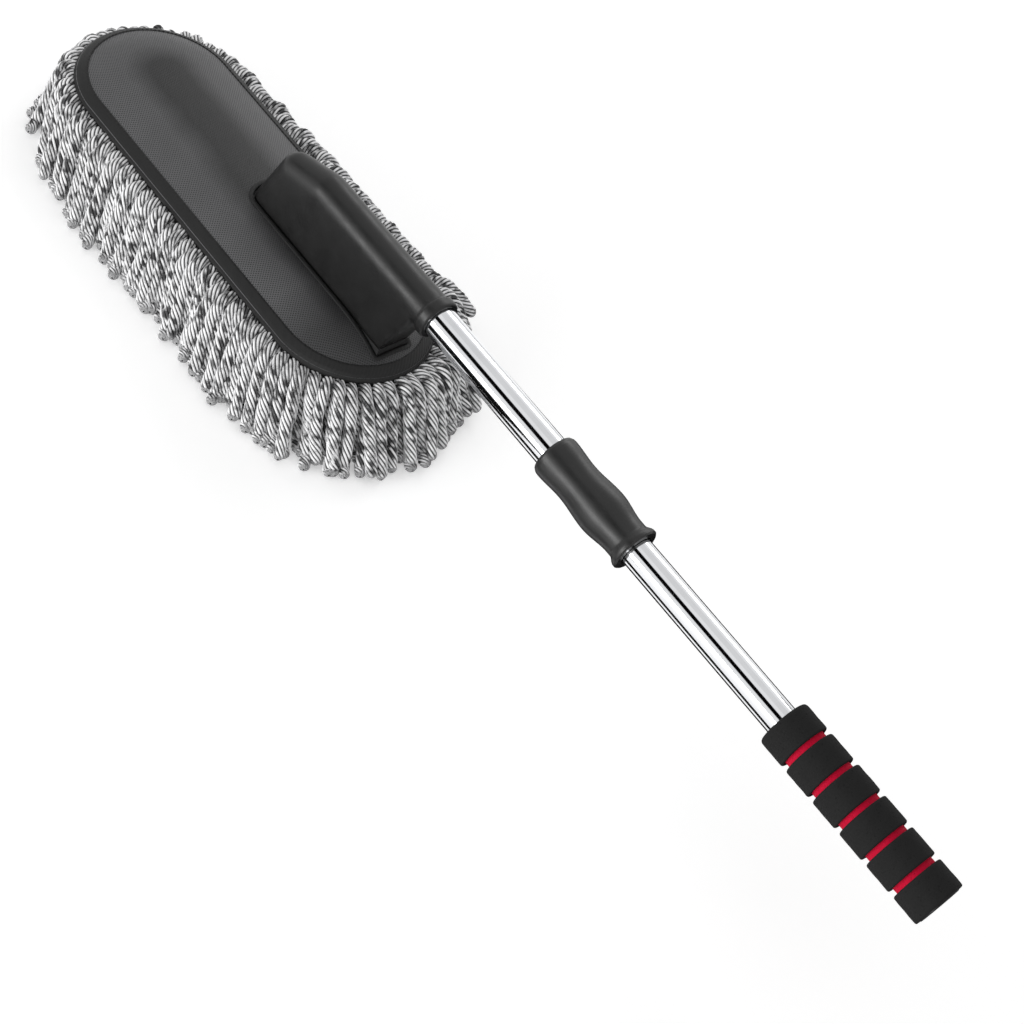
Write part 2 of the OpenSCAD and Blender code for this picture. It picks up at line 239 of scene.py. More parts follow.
def oval_sweep(name, profile, material, count=420, radius=COVER_R, closed=True):
    """Sweeps [distance from middle line, z] points round the oval."""
    base, normal = oval_frame(count, radius=radius)
    p = np.asarray(profile, dtype=float)
    xy = base[None] + normal[None] * p[:, 0][:, None, None]
    z = np.repeat(p[:, 1][:, None], count, 1)[..., None]
    verts = np.concatenate([xy, z], -1).reshape(-1, 3)
    return mesh_object(name, verts, grid_faces(len(p), count, True, closed), material)


# ---- Material helpers ----

def add(tree, kind, inputs=None, **attrs):
    """Adds a shader node; an input can be a value or another node's output socket."""
    node = tree.nodes.new("ShaderNode" + kind)
    for key, value in attrs.items():
        setattr(node, key, value)
    for key, value in (inputs or {}).items():
        if isinstance(value, bpy.types.NodeSocket):
            tree.links.new(value, node.inputs[key])
        else:
            node.inputs[key].default_value = value
    return node


def material(name, build, **settings):
    """A Principled material; build(tree, shader) wires its pattern."""
    mat = bpy.data.materials.new(name)
    mat.use_nodes = True
    tree = mat.node_tree
    tree.nodes.clear()
    shader = add(tree, "BsdfPrincipled", {k.replace("_", " "): v for k, v in settings.items()})
    out = add(tree, "OutputMaterial")
    tree.links.new(shader.outputs[0], out.inputs[0])
    build(tree, shader)
    return mat


def grey(v, tint=0.0):
    """A grey, with a little more blue by tint."""
    return (v, v, v * (1 + tint), 1.0)


def calc(tree, op, a, b=0.0, c=None):
    """A maths node's result."""
    inputs = {0: a, 1: b}
    if c is not None:
        inputs[2] = c
    return add(tree, "Math", inputs, operation=op).outputs[0]


def blend_colour(tree, factor, a, b):
    """Colour a at factor 0, b at factor 1."""
    node = add(tree, "Mix", {0: factor, 6: a, 7: b}, data_type="RGBA")
    return node.outputs[2]


def remap(tree, value, low, high, to_low=0.0, to_high=1.0):
    """A value's place between low and high, held within the new range."""
    return add(tree, "MapRange", {"Value": value, "From Min": low, "From Max": high,
                                  "To Min": to_low, "To Max": to_high}).outputs[0]


def place_coords(tree):
    """Position on the piece at rest, in metres."""
    return add(tree, "TexCoord").outputs["Object"]


def noise(tree, scale, detail=3.0, vector=None):
    """Cloudy noise; scale is in turns per metre unless a vector is given."""
    inputs = {"Scale": scale, "Detail": detail, "Roughness": 0.55,
              "Vector": vector or place_coords(tree)}
    return add(tree, "TexNoise", inputs).outputs[0]


def bump(tree, shader, height, strength, distance):
    """Feeds a bump of a height pattern to the shader."""
    inputs = {"Height": height, "Strength": strength, "Distance": distance}
    tree.links.new(add(tree, "Bump", inputs).outputs[0], shader.inputs["Normal"])


def feed(tree, shader, socket, value):
    tree.links.new(value, shader.inputs[socket])


# ---- Materials ----

def yarn_pattern(tree, shader):
    """Spun yarn: light and dark strands side by side, with painted shade in the grooves, frayed at
    the tip.
    """
    ply = add(tree, "SeparateXYZ", {0: add(tree, "UVMap", uv_map="ply").outputs[0]})
    tone = add(tree, "SeparateXYZ", {0: add(tree, "UVMap", uv_map="tone").outputs[0]})
    lane = calc(tree, "MULTIPLY", ply.outputs[0], float(STRANDS))
    strand = calc(tree, "FLOOR", lane)
    across = calc(tree, "ABSOLUTE", calc(tree, "SUBTRACT", calc(tree, "FRACT", lane), 0.5))
    spot = add(tree, "CombineXYZ", {0: calc(tree, "MULTIPLY", strand, 7.3),
                                    1: calc(tree, "MULTIPLY", tone.outputs[0], 90.0),
                                    2: calc(tree, "MULTIPLY", ply.outputs[1], 0.15)}).outputs[0]
    dye = noise(tree, 1.0, 1.0, spot)
    fleck = noise(tree, 1500.0, 2.0)
    mixed = calc(tree, "MULTIPLY_ADD", fleck, 0.25, dye)
    light = remap(tree, mixed, 0.47, 0.65)
    colour = blend_colour(tree, light, grey(0.075, 0.03), grey(0.90, 0.01))
    # Painted shade: the colour falls to near black in the grooves between strands.
    groove = remap(tree, across, 0.20, 0.44, 1.0, 0.0)
    twisted = blend_colour(tree, groove, grey(0.006), colour)
    cut_end = remap(tree, tone.outputs[1], 0.84, 0.91)
    frayed = blend_colour(tree, remap(tree, fleck, 0.4, 0.6), grey(0.16, 0.02), grey(0.42, 0.01))
    feed(tree, shader, "Base Color", blend_colour(tree, cut_end, twisted, frayed))
    fibre = noise(tree, 2600.0, 2.0)
    bump(tree, shader, fibre, 0.5, 0.0003)


def panel_pattern(tree, shader):
    """Knitted air mesh: dark holes in a fine lattice, with a painted sheen that pales it away from
    the middle line over the pad's curve, and painted shade that takes the sheen off at the near end.
    """
    at = add(tree, "SeparateXYZ", {0: place_coords(tree)})
    pitch = 2 * math.pi / MESH_PITCH
    row = calc(tree, "SINE", calc(tree, "MULTIPLY", at.outputs[0], pitch))
    col = calc(tree, "SINE", calc(tree, "MULTIPLY", at.outputs[1], pitch))
    hole = remap(tree, calc(tree, "MULTIPLY", row, col), 0.1, 0.75)
    patch = remap(tree, noise(tree, 22.0, 2.0), 0.35, 0.65)
    beyond = calc(tree, "SUBTRACT", calc(tree, "ABSOLUTE", at.outputs[0]), HALF_RUN)
    end = calc(tree, "POWER", calc(tree, "MAXIMUM", beyond, 0.0), 2.0)
    reach = calc(tree, "SQRT", calc(tree, "ADD", end, calc(tree, "POWER", at.outputs[1], 2.0)))
    # Painted sheen: lit and plain copies of the thread colour, the lit one from 14 mm to 30 mm off
    # the middle line, on the dome's flanks.
    sheen_band = remap(tree, calc(tree, "MULTIPLY_ADD", patch, 4 * MM, reach), 14 * MM, 30 * MM)
    plain_thread = blend_colour(tree, patch, grey(0.015, 0.03), grey(0.020, 0.03))
    sheen_thread = blend_colour(tree, patch, grey(0.088, 0.03), grey(0.100, 0.03))
    # Painted shade: the sheen falls to 0.35 over the near end, where it bends away from the light
    # under the spine's shadow.
    near_end_shade = remap(tree, at.outputs[0], 85 * MM, 120 * MM, 1.0, 0.35)
    pale = calc(tree, "MULTIPLY", sheen_band, near_end_shade)
    thread = blend_colour(tree, pale, plain_thread, sheen_thread)
    feed(tree, shader, "Base Color", blend_colour(tree, hole, thread, grey(0.008)))
    fuzz = noise(tree, 3000.0, 2.0)
    height = calc(tree, "SUBTRACT", calc(tree, "MULTIPLY", fuzz, 0.3), hole)
    bump(tree, shader, height, 0.6, 0.0003)
    feed(tree, shader, "Roughness", remap(tree, patch, 0.0, 1.0, 0.42, 0.50))


def binding_pattern(tree, shader):
    """Woven tape with fine slanting ribs."""
    at = add(tree, "SeparateXYZ", {0: place_coords(tree)})
    slant = calc(tree, "ADD", at.outputs[0], calc(tree, "ADD", at.outputs[1], at.outputs[2]))
    rib = calc(tree, "SINE", calc(tree, "MULTIPLY", slant, 2 * math.pi / RIB_PITCH))
    fuzz = noise(tree, 2500.0, 2.0)
    tone = remap(tree, calc(tree, "MULTIPLY_ADD", fuzz, 0.8, rib), -0.6, 1.4)
    feed(tree, shader, "Base Color", blend_colour(tree, tone, grey(0.008), grey(0.022)))
    bump(tree, shader, calc(tree, "MULTIPLY_ADD", fuzz, 0.5, rib), 0.5, 0.00015)


def plastic_pattern(dark, light, rough_low, rough_high):
    """Moulded plastic with a fine spark grain, faint flow marks and light handling wear."""
    def build(tree, shader):
        grain = noise(tree, 2400.0, 2.0)
        flow = remap(tree, noise(tree, 30.0, 3.0), 0.3, 0.7)
        feed(tree, shader, "Base Color", blend_colour(tree, flow, dark, light))
        rub = remap(tree, noise(tree, 90.0, 4.0), 0.4, 0.75)
        feed(tree, shader, "Roughness", remap(tree, rub, 0.0, 1.0, rough_high, rough_low))
        bump(tree, shader, grain, 0.35, 0.00006)
    return build


def chrome_pattern(tree, shader):
    """Polished tube with faint lengthwise draw marks and smears."""
    at = add(tree, "Mapping", {"Vector": place_coords(tree), "Scale": (6.0, 900.0, 900.0)})
    draw = noise(tree, 1.0, 3.0, at.outputs[0])
    smear = remap(tree, noise(tree, 45.0, 3.0), 0.45, 0.75)
    rough = calc(tree, "MULTIPLY_ADD", smear, 0.05, remap(tree, draw, 0.3, 0.7, 0.045, 0.085))
    feed(tree, shader, "Roughness", rough)
    tint = blend_colour(tree, smear, (0.86, 0.87, 0.89, 1), (0.80, 0.81, 0.83, 1))
    feed(tree, shader, "Base Color", tint)
    bump(tree, shader, draw, 0.04, 0.00002)


def foam_pattern(dark, light, pore=1100.0):
    """Closed-cell foam: a skin of tiny pores of mixed size."""
    def build(tree, shader):
        cells = add(tree, "TexVoronoi", {"Vector": place_coords(tree), "Scale": pore}).outputs[0]
        big = add(tree, "TexVoronoi", {"Vector": place_coords(tree), "Scale": pore / 3.1}).outputs[0]
        pit = calc(tree, "ADD", remap(tree, cells, 0.0, 0.45), remap(tree, big, 0.0, 0.3))
        tone = remap(tree, calc(tree, "MULTIPLY_ADD", noise(tree, 300.0), 0.8, pit), 0.6, 2.2)
        feed(tree, shader, "Base Color", blend_colour(tree, tone, dark, light))
        bump(tree, shader, pit, 0.55, 0.00025)
    return build


def steel_pattern(tree, shader):
    """Brushed screw steel."""
    brushed = noise(tree, 1500.0, 2.0)
    feed(tree, shader, "Roughness", remap(tree, brushed, 0.3, 0.7, 0.28, 0.45))
    bump(tree, shader, brushed, 0.1, 0.00003)


MAT = {
    "yarn": material("noodle_yarn", yarn_pattern, Roughness=0.9, Specular_IOR_Level=0.2),
    "panel": material("panel_mesh", panel_pattern, Specular_IOR_Level=0.42),
    "binding": material("binding_tape", binding_pattern, Roughness=0.55, Specular_IOR_Level=0.25),
    "spine": material("spine_plastic", plastic_pattern(grey(0.004), grey(0.007), 0.34, 0.46)),
    "collar": material("collar_plastic", plastic_pattern(grey(0.008), grey(0.012), 0.30, 0.42)),
    "board": material("board_plastic", plastic_pattern(grey(0.010), grey(0.016), 0.45, 0.6)),
    "bearing": material("bearing_plastic", plastic_pattern(grey(0.62), grey(0.70), 0.25, 0.4)),
    "rubber": material("wiper_rubber", plastic_pattern(grey(0.02), grey(0.03), 0.6, 0.8)),
    "chrome": material("tube_chrome", chrome_pattern, Metallic=1.0),
    "steel": material("screw_steel", steel_pattern, Base_Color=grey(0.6), Metallic=1.0),
    "foam_black": material("grip_black", foam_pattern(grey(0.003), grey(0.012)), Roughness=0.8,
                           Specular_IOR_Level=0.16),
    "foam_red": material("grip_red", foam_pattern((0.30, 0.0, 0.014, 1), (0.56, 0.001, 0.03, 1)),
                         Roughness=0.75, Specular_IOR_Level=0.15),
    "pad": material("pad_foam", foam_pattern(grey(0.12), grey(0.2), 500.0), Roughness=0.9),
    "backing": material("backing_cloth", binding_pattern, Roughness=0.8),
}


# ---- Fabric cover ----

def cover_z(r):
    """Height of the padded top at a distance from the oval's middle line."""
    return cover_hi[2] - COVER_RISE * np.clip(np.asarray(r) / COVER_R, 0, 1) ** DOME_POWER


def middle_distance(x, y):
    """Distance from the oval's middle line."""
    return np.hypot(np.maximum(np.abs(x) - HALF_RUN, 0), y)


def slot_outline(grow):
    """The slot for the spine seen from above: a rounded front and a square end."""
    front, half = SLOT_NOSE + grow, SLOT_HALF + grow
    points = [(SLOT_X0 - grow + front * (1 - math.cos(a)), half * math.sin(a))
              for a in np.linspace(-math.pi / 2, math.pi / 2, 31)]
    corner = 2.5 * MM
    for side in (1, -1):
        for a in np.linspace(0, math.pi / 2, 6)[::side]:
            points.append((SLOT_X1 + grow - corner + corner * math.sin(a),
                           side * (half - corner + corner * math.cos(a))))
    return points


def slot_cutter():
    """A tall prism of the slot's outline, to cut the panel with."""
    below, tall = 0.02, 0.06
    bm = bmesh.new()
    face = bm.faces.new([bm.verts.new((x, y, COVER_BASE_Z - below)) for x, y in slot_outline(0)])
    lifted = bmesh.ops.extrude_face_region(bm, geom=[face])["geom"]
    bmesh.ops.translate(bm, verts=[v for v in lifted if isinstance(v, bmesh.types.BMVert)],
                        vec=(0, 0, tall))
    bmesh.ops.recalc_face_normals(bm, faces=bm.faces)
    mesh = bpy.data.meshes.new("slot_cutter")
    bm.to_mesh(mesh)
    bm.free()
    obj = bpy.data.objects.new("slot_cutter", mesh)
    bpy.context.collection.objects.link(obj)
    return obj


def build_cover():
    """The padded panel, with a slot for the spine."""
    count, rings = 460, 46
    radii = COVER_R * np.linspace(0.0, 1.0, rings) ** 0.85
    top = [(r, float(cover_z(r))) for r in radii]
    under = [(r * (COVER_R - COVER_T) / COVER_R, z - COVER_T) for r, z in reversed(top)]
    profile = top + under
    cover = oval_sweep("cover_top_fabric", profile, MAT["panel"], count, closed=False)
    bm = bmesh.new()
    bm.from_mesh(cover.data)
    bmesh.ops.remove_doubles(bm, verts=bm.verts, dist=1e-6)
    bm.to_mesh(cover.data)
    bm.free()
    cutter = slot_cutter()
    cut = cover.modifiers.new("slot", "BOOLEAN")
    cut.object = cutter
    cut.solver = "EXACT"
    apply_modifiers(cover)
    bpy.data.objects.remove(cutter)
    cover.data.shade_smooth()
    place(cover, "head", "panel_fabric", "cover_top")


def build_binding():
    """Tape folded over the cover's rim, from the top of the panel round to the backing."""
    lift, bead, bead_rise = 0.7 * MM, 2.6 * MM, 0.3 * MM
    inner = COVER_R - TAPE_REACH
    outline = [(r, float(cover_z(r)) + lift * min(1.0, (r - inner) / MM))
               for r in np.linspace(inner, COVER_R - COVER_T, 11)]
    for t in np.radians(np.linspace(55, -90, 11)):
        outline.append((RIM_R - bead + bead * math.cos(t),
                        PIPING_Z + bead_rise + (bead - 0.1 * MM) * math.sin(t)))
    outline += [
        (RIM_R - 4.0 * MM, PIPING_Z - PIPING_R),
        (COVER_R - 3.0 * MM, PIPING_Z - 0.5 * PIPING_R),
        (COVER_R - 3.0 * MM, COVER_BASE_Z - 0.2 * MM),
        (COVER_R - 1.8 * MM, COVER_BASE_Z),
        (inner, float(cover_z(inner)) - 0.6 * MM),
    ]
    tape = oval_sweep("cover_binding", outline, MAT["binding"], 520)
    place(tape, "head", "binding_fabric", "cover_piping")


def sweep_loop(name, path, radius, material, sides, flat):
    """A tube along a closed path of points, kept upright; flat squeezes its height."""
    p = np.asarray(path, dtype=float)
    t = np.roll(p, -1, 0) - np.roll(p, 1, 0)
    t /= np.linalg.norm(t, axis=1)[:, None]
    side = np.cross(t, (0, 0, 1.0))
    side /= np.linalg.norm(side, axis=1)[:, None]
    up = np.cross(side, t)
    a = np.arange(sides) * 2 * math.pi / sides
    ring = (side[:, None] * np.cos(a)[None, :, None]
            + up[:, None] * (flat * np.sin(a))[None, :, None])
    verts = (p[:, None] + radius * ring).reshape(-1, 3)
    return mesh_object(name, verts, grid_faces(len(p), sides, True, True), material)


def slot_path(grow, lift, step=1.2 * MM):
    """Evenly spaced points on the cover, round the spine's slot."""
    p = np.array(slot_outline(grow))
    p = np.concatenate([p, p[:1]])
    d = np.concatenate([[0], np.cumsum(np.linalg.norm(np.diff(p, axis=0), axis=1))])
    s = np.linspace(0, d[-1], int(d[-1] / step), endpoint=False)
    x, y = np.interp(s, d, p[:, 0]), np.interp(s, d, p[:, 1])
    return np.stack([x, y, cover_z(middle_distance(x, y)) + lift], -1)


def build_slot_binding():
    """Flat tape laid round the spine's slot."""
    path = slot_path(grow=1.3 * MM, lift=0.35 * MM)
    tape = sweep_loop("slot_tape", path, 1.6 * MM, MAT["binding"], sides=12, flat=0.5)
    place(tape, "head", "binding_fabric", "slot_binding")


def build_stitches():
    """Short thread stitches along the inner edge of the binding."""
    radius = COVER_R - TAPE_REACH + STITCH_IN
    base, normal = oval_frame(STITCHES)
    xy = base + normal * radius
    tangent = np.stack([-normal[:, 1], normal[:, 0]], -1)
    sides, rows = 6, 5
    half, thick = 1.05 * MM, 0.24 * MM
    a = np.arange(sides) * 2 * math.pi / sides
    u = np.linspace(-1, 1, rows)
    z = float(cover_z(radius)) + 0.72 * MM
    verts, quads = [], []
    for i in range(len(xy)):
        start = len(verts) * sides * rows
        along = xy[i][None] + tangent[i][None] * (u * half)[:, None]
        fat = thick * np.sqrt(np.maximum(1.02 - u ** 2, 0.02))
        ring_xy = along[:, None] + normal[i][None, None] * (fat[:, None] * np.cos(a))[..., None]
        ring_z = z + fat[:, None] * np.sin(a)[None] - 0.25 * MM * (u ** 2)[:, None]
        verts.append(np.concatenate([ring_xy, ring_z[..., None]], -1).reshape(-1, 3))
        quads.append(grid_faces(rows, sides) + start)
    thread = mesh_object("binding_stitches", np.concatenate(verts), np.concatenate(quads),
                         MAT["binding"])
    place(thread, "head", "binding_fabric")


def build_hidden_layers():
    """The pad and the backing under the cover, seen only from below through the yarn."""
    soft = 2 * MM
    edge = [(0, pad_lo[2]), (pad_hi[1] - soft, pad_lo[2]), (pad_hi[1], pad_lo[2] + soft),
            (pad_hi[1], pad_hi[2] - soft), (pad_hi[1] - soft, pad_hi[2]), (0, pad_hi[2])]
    pad = oval_sweep("foam_pad_block", edge, MAT["pad"], 200, closed=False)
    place(pad, "head", "pad_foam", "foam_pad")
    wall = 1.4 * MM
    cup = [(0, back_lo[2]), (back_hi[1] - 1 * MM, back_lo[2]), (back_hi[1], back_lo[2] + MM),
           (back_hi[1], back_hi[2]), (back_hi[1] - wall, back_hi[2]),
           (back_hi[1] - wall, back_lo[2] + wall), (0, back_lo[2] + wall)]
    cloth = oval_sweep("backing_cloth", cup, MAT["backing"], 240, closed=False)
    place(cloth, "head", "backing_fabric", "cover_backing")


# ---- Yarn ----

def unit(v):
    """Vectors scaled to length one."""
    return v / np.maximum(np.linalg.norm(v, axis=-1, keepdims=True), 1e-12)


def transport(points):
    """Tangents and a twist-free pair of normals along each path in points (paths, steps, 3)."""
    t = np.empty_like(points)
    t[:, 1:-1] = points[:, 2:] - points[:, :-2]
    t[:, 0] = points[:, 1] - points[:, 0]
    t[:, -1] = points[:, -1] - points[:, -2]
    t = unit(t)
    seed = np.where(np.abs(t[:, 0, 2:3]) < 0.9, [[0, 0, 1.0]], [[1.0, 0, 0]])
    u = np.empty_like(points)
    u[:, 0] = unit(np.cross(t[:, 0], seed))
    for i in range(1, points.shape[1]):
        carried = u[:, i - 1] - t[:, i] * np.sum(u[:, i - 1] * t[:, i], -1, keepdims=True)
        u[:, i] = unit(carried)
    return t, u, np.cross(t, u)


def noodle_centres(base, out, length, bend, droop, steps=48):
    """Centre lines that start along out and bend over to hang along droop."""
    n = len(base)
    pos = base.copy()
    path = [pos.copy()]
    sway = unit(rng.normal(size=(n, 3))) * rng.uniform(0.04, 0.20, (n, 1))
    phase = rng.uniform(0, 2 * math.pi, (n, 1))
    ds = (length / (steps - 1))[:, None]
    floor = 1.2 * ROPE_R
    for j in range(1, steps):
        t = j / (steps - 1)
        w = np.minimum(1.0, t / bend)
        w = w * w * (3 - 2 * w)
        d = unit((1 - w) * out + w * droop + sway * np.sin(phase + 5.0 * t))
        pos = pos + d * ds
        pos[:, 2] = np.where(pos[:, 2] < floor, floor + (pos[:, 2] - floor) * 0.04, pos[:, 2])
        path.append(pos.copy())
    return np.stack(path, 1)


def rope_meshes(centres, length, tones):
    """Verts, faces and UVs of twisted ropes of side-by-side strands, rounded at the tip."""
    n, steps, _ = centres.shape
    cap = np.minimum(1.25 * ROPE_R / length, 0.3)[:, None]
    body = np.linspace(0, 1, RINGS - TIP_RINGS)[None] * (1 - cap)
    arc = np.sin(np.linspace(0, math.pi / 2, TIP_RINGS + 1)[1:])[None]
    frac = np.concatenate([body, 1 - cap + cap * arc], 1)
    at = np.clip(frac * (steps - 1), 0, steps - 1.001)
    k = at.astype(int)
    part = (at - k)[..., None]
    row = np.arange(n)[:, None]
    paths = centres[row, k] * (1 - part) + centres[row, k + 1] * part
    t, u, v = transport(paths)

    s = frac * length[:, None]
    tip = np.clip((frac - 1 + cap) / cap, 0, 1)
    girth = ROPE_R * np.sqrt(np.maximum(1 - tip ** 2, 0.02))
    girth *= 1 + 0.05 * np.sin(s / (5 * MM) + tones[:, None] * 40)
    girth[:, 0] *= 0.6
    j = np.arange(SIDES)
    groove = np.where(j % (SIDES // 2) == 0, PLY_GROOVE, GROOVE)
    depth = np.where(j % 3 == 0, groove, 1.0)
    a = j * 2 * math.pi / SIDES
    turn = tones[:, None] * 61 - 2 * math.pi * s / PITCH
    angle = turn[..., None] + a[None, None]
    oval = 1 + 0.06 * np.cos(2 * a)
    ridges = tip[..., None] + (1 - tip[..., None]) * (depth * oval)[None, None]
    r = (girth[..., None] * ridges)[..., None]
    ring = u[:, :, None] * np.cos(angle)[..., None] + v[:, :, None] * np.sin(angle)[..., None]
    verts = (paths[:, :, None] + r * ring).reshape(-1, 3)

    rings = paths.shape[1]
    faces = grid_faces(rings, SIDES)
    quads = (faces[None] + (np.arange(n) * rings * SIDES)[:, None, None]).reshape(-1, 4)
    col = np.tile(np.arange(SIDES), rings - 1)
    low = np.repeat(np.arange(rings - 1), SIDES)
    rows = np.stack([low, low + 1, low + 1, low], -1)
    ply = np.empty((n, len(col), 4, 2))
    ply[..., 0] = (np.stack([col, col, col + 1, col + 1], -1) / SIDES)[None]
    ply[..., 1] = s[:, rows] / MM
    tone = np.empty_like(ply)
    tone[..., 0] = tones[:, None, None]
    tone[..., 1] = rows[None] / rings
    first = np.arange(n) * rings * SIDES
    last = first + (rings - 1) * SIDES
    caps = []
    for c in range(1, SIDES - 1):
        caps.append(np.stack([first, first + c + 1, first + c], -1))
        caps.append(np.stack([last, last + c, last + c + 1], -1))
    tris = np.concatenate(caps)
    cap_uv = np.full((len(tris) * 3, 2), 0.5)
    uv = {"ply": np.concatenate([ply.reshape(-1, 2), cap_uv]),
          "tone": np.concatenate([tone.reshape(-1, 2), cap_uv])}
    return verts, quads, tris, uv


def hang(base, normal):
    """The way noodles on each side of the head hang: they lean, but never back under it."""
    lean = normal @ LEAN
    near, far = np.maximum(normal[:, 0], 0), np.maximum(-normal[:, 0], 0)
    spread = 0.28 - 0.10 * near - 0.28 * far
    along = base[:, 0] / HALF_RUN
    least = 0.10 - 0.07 * far + (0.19 + 0.08 * along) * np.maximum(normal[:, 1], 0)
    return LEAN[None] + np.maximum(spread, least - lean)[:, None] * normal


def build_yarn():
    """All the noodles, in pieces of a fixed number sorted from the head's tip to the pole."""
    centres, lengths = [], []
    for radius, lift, rise, length, bend, spacing in ROWS:
        radius *= MM
        count = int((4 * HALF_RUN + 2 * math.pi * radius) / (spacing * MM))
        base, normal = oval_frame(count, radius=radius)
        normal = np.concatenate([normal, np.zeros((count, 1))], 1)
        root = np.concatenate([base, np.full((count, 1), BACK_Z + lift * MM)], 1) + normal * radius
        root[:, :2] += rng.normal(scale=0.7 * MM, size=(count, 2))
        out = unit(normal + [0, 0, rise] + rng.normal(scale=0.08, size=(count, 3)))
        droop = unit(hang(base, normal) + rng.normal(scale=0.06, size=(count, 3)))
        reach = length * MM * rng.uniform(0.90, 1.07, count)
        side = np.maximum(normal[:, 1], 0) * (0.45 + 0.40 * base[:, 0] / HALF_RUN)
        late = 1 - 0.40 * np.maximum(-normal[:, 0], 0) + side
        centres.append(noodle_centres(root, out, reach, bend * late[:, None], droop))
        lengths.append(reach)
    centres, lengths = np.concatenate(centres), np.concatenate(lengths)
    tones = rng.uniform(0, 1, len(lengths))
    order = np.argsort(centres[:, 0, 0], kind="stable")
    centres, lengths, tones = centres[order], lengths[order], tones[order]
    for i in range(0, len(lengths), NOODLES_PER_PIECE):
        part = slice(i, i + NOODLES_PER_PIECE)
        verts, quads, tris, uv = rope_meshes(centres[part], lengths[part], tones[part])
        piece = mesh_object(f"noodles_{i // NOODLES_PER_PIECE:02d}", verts, quads, MAT["yarn"],
                            uv, tris=tris)
        place(piece, "head", "noodle_yarn", *(("yarn_pile",) if i == 0 else ()))
    print("noodles", len(lengths))


# ---- Spine ----

def soften(name, node, material, voxel, rounds, flank_rounds):
    """A copy of a CAD node with its edges eased, as a moulding has them, its flanks the most."""
    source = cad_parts[node]
    obj = bpy.data.objects.new(name, source.data.copy())
    bpy.context.collection.objects.link(obj)
    remesh = obj.modifiers.new("voxels", "REMESH")
    remesh.mode = "VOXEL"
    remesh.voxel_size = voxel
    smooth = obj.modifiers.new("ease", "SMOOTH")
    smooth.factor = 0.5
    smooth.iterations = rounds
    apply_modifiers(obj)
    at = np.empty(len(obj.data.vertices) * 3, dtype=np.float32)
    obj.data.vertices.foreach_get("co", at)
    at = at.reshape(-1, 3)
    above_foot = np.clip((at[:, 2] - spine_lo[2] - 4 * MM) / (6 * MM), 0, 1)
    behind_ring = np.clip((spine_hi[0] - 16 * MM - at[:, 0]) / (8 * MM), 0, 1)
    weight = np.round(above_foot * behind_ring, 1)
    group = obj.vertex_groups.new(name="flanks")
    for level in np.unique(weight[weight > 0]):
        group.add(np.flatnonzero(weight == level).tolist(), float(level), "REPLACE")
    even = obj.modifiers.new("even", "SMOOTH")
    even.vertex_group = "flanks"
    even.factor = 0.5
    even.iterations = flank_rounds
    apply_modifiers(obj)
    obj.data.materials.clear()
    obj.data.materials.append(material)
    obj.data.shade_smooth()
    return obj


def build_spine():
    """The spine, as a moulding with eased edges."""
    spine = soften("spine_body", "socket_spine", MAT["spine"], 0.75 * MM, 5, 52)
    place(spine, "head", "spine_plastic", "socket_spine")


# ---- Pole ----

def build_tubes():
    """The two chrome tubes, with their ends slightly rounded."""
    tubes = [("upper_tube", upper_lo[0], upper_hi[0], UPPER_R, "head"),
             ("lower_tube", lower_lo[0], lower_hi[0], LOWER_R, "lower_pole")]
    for node, x0, x1, r, body in tubes:
        bore = r - TUBE_WALL
        outline = rounded([(x0, bore), (x0, r), (x1, r), (x1, bore)], 0.2 * MM, 4)
        tube = lathe(node + "_chrome", outline, MAT["chrome"], 160)
        place(tube, body, "tube_chrome", node)


def densify(outline, step):
    """Adds points to a closed outline so that no stretch is longer than step."""
    out = []
    n = len(outline)
    for i in range(n):
        a, b = np.array(outline[i], dtype=float), np.array(outline[(i + 1) % n], dtype=float)
        k = max(1, int(np.linalg.norm(b - a) / step))
        out += [a + (b - a) * j / k for j in range(k)]
    return out


def foam_noise(seed):
    """Slow unevenness of a cut foam surface."""
    local = np.random.default_rng(seed)
    waves = [(local.uniform(150, 900), local.integers(2, 9), local.uniform(0, 6.3))
             for _ in range(7)]

    def bump_at(x, angle):
        total = sum(np.sin(k * x + m * angle + p) for k, m, p in waves)
        return total * 0.02 * MM
    return bump_at


def build_grip():
    """Six black foam rings on a red foam sleeve; the first ring closes round the tube."""
    pitch = (grip_hi[0] - grip_lo[0] + GRIP_GROOVE) / GRIP_RINGS
    outer = (grip_hi[2] - grip_lo[2]) / 2
    inner = (core_hi[2] - core_lo[2]) / 2
    front_r = LOWER_R + 0.05 * MM
    for i in range(GRIP_RINGS):
        x0 = grip_lo[0] + i * pitch
        x1 = x0 + pitch - GRIP_GROOVE
        foot = [(x1, inner), (x0, inner)]
        if i == 0:
            foot = [(x1, inner), (x0 + FRONT_T, inner), (x0 + FRONT_T, front_r), (x0, front_r)]
        shape = rounded([(x0, outer), (x1, outer)] + foot, 2.6 * MM, 8)
        dense = densify(shape, 0.8 * MM)
        segment = lathe(f"grip_ring_{i}", dense, MAT["foam_black"], 144, foam_noise(20 + i))
        nodes = ("grip_segments",) if i == 0 else ()
        place(segment, "lower_pole", "grip_black", *nodes)
    ends = [(core_lo[0], LOWER_R), (core_lo[0], inner), (core_hi[0], inner), (core_hi[0], LOWER_R)]
    body = rounded(ends, 0.5 * MM)
    core = lathe("grip_core_foam", densify(body, 1.2 * MM), MAT["foam_red"], 128, foam_noise(5))
    place(core, "lower_pole", "grip_red", "grip_core")


def finish_cad_nodes():
    """Materials for the CAD pieces whose own shape is shown."""
    looks = {"mop_board": "board", "spine_screws": "steel", "tube_screw": "steel",
             "tube_plug": "board", "lock_collet": "collar", "lock_wedge": "bearing",
             "twist_collar": "collar", "collar_end_ring": "collar", "collar_lip_ring": "bearing",
             "wiper_ring": "rubber", "guide_bush": "bearing", "end_cap": "collar"}
    for node, look in looks.items():
        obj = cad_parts[node]
        obj.data.materials.clear()
        obj.data.materials.append(MAT[look])


# ---- Studio ----

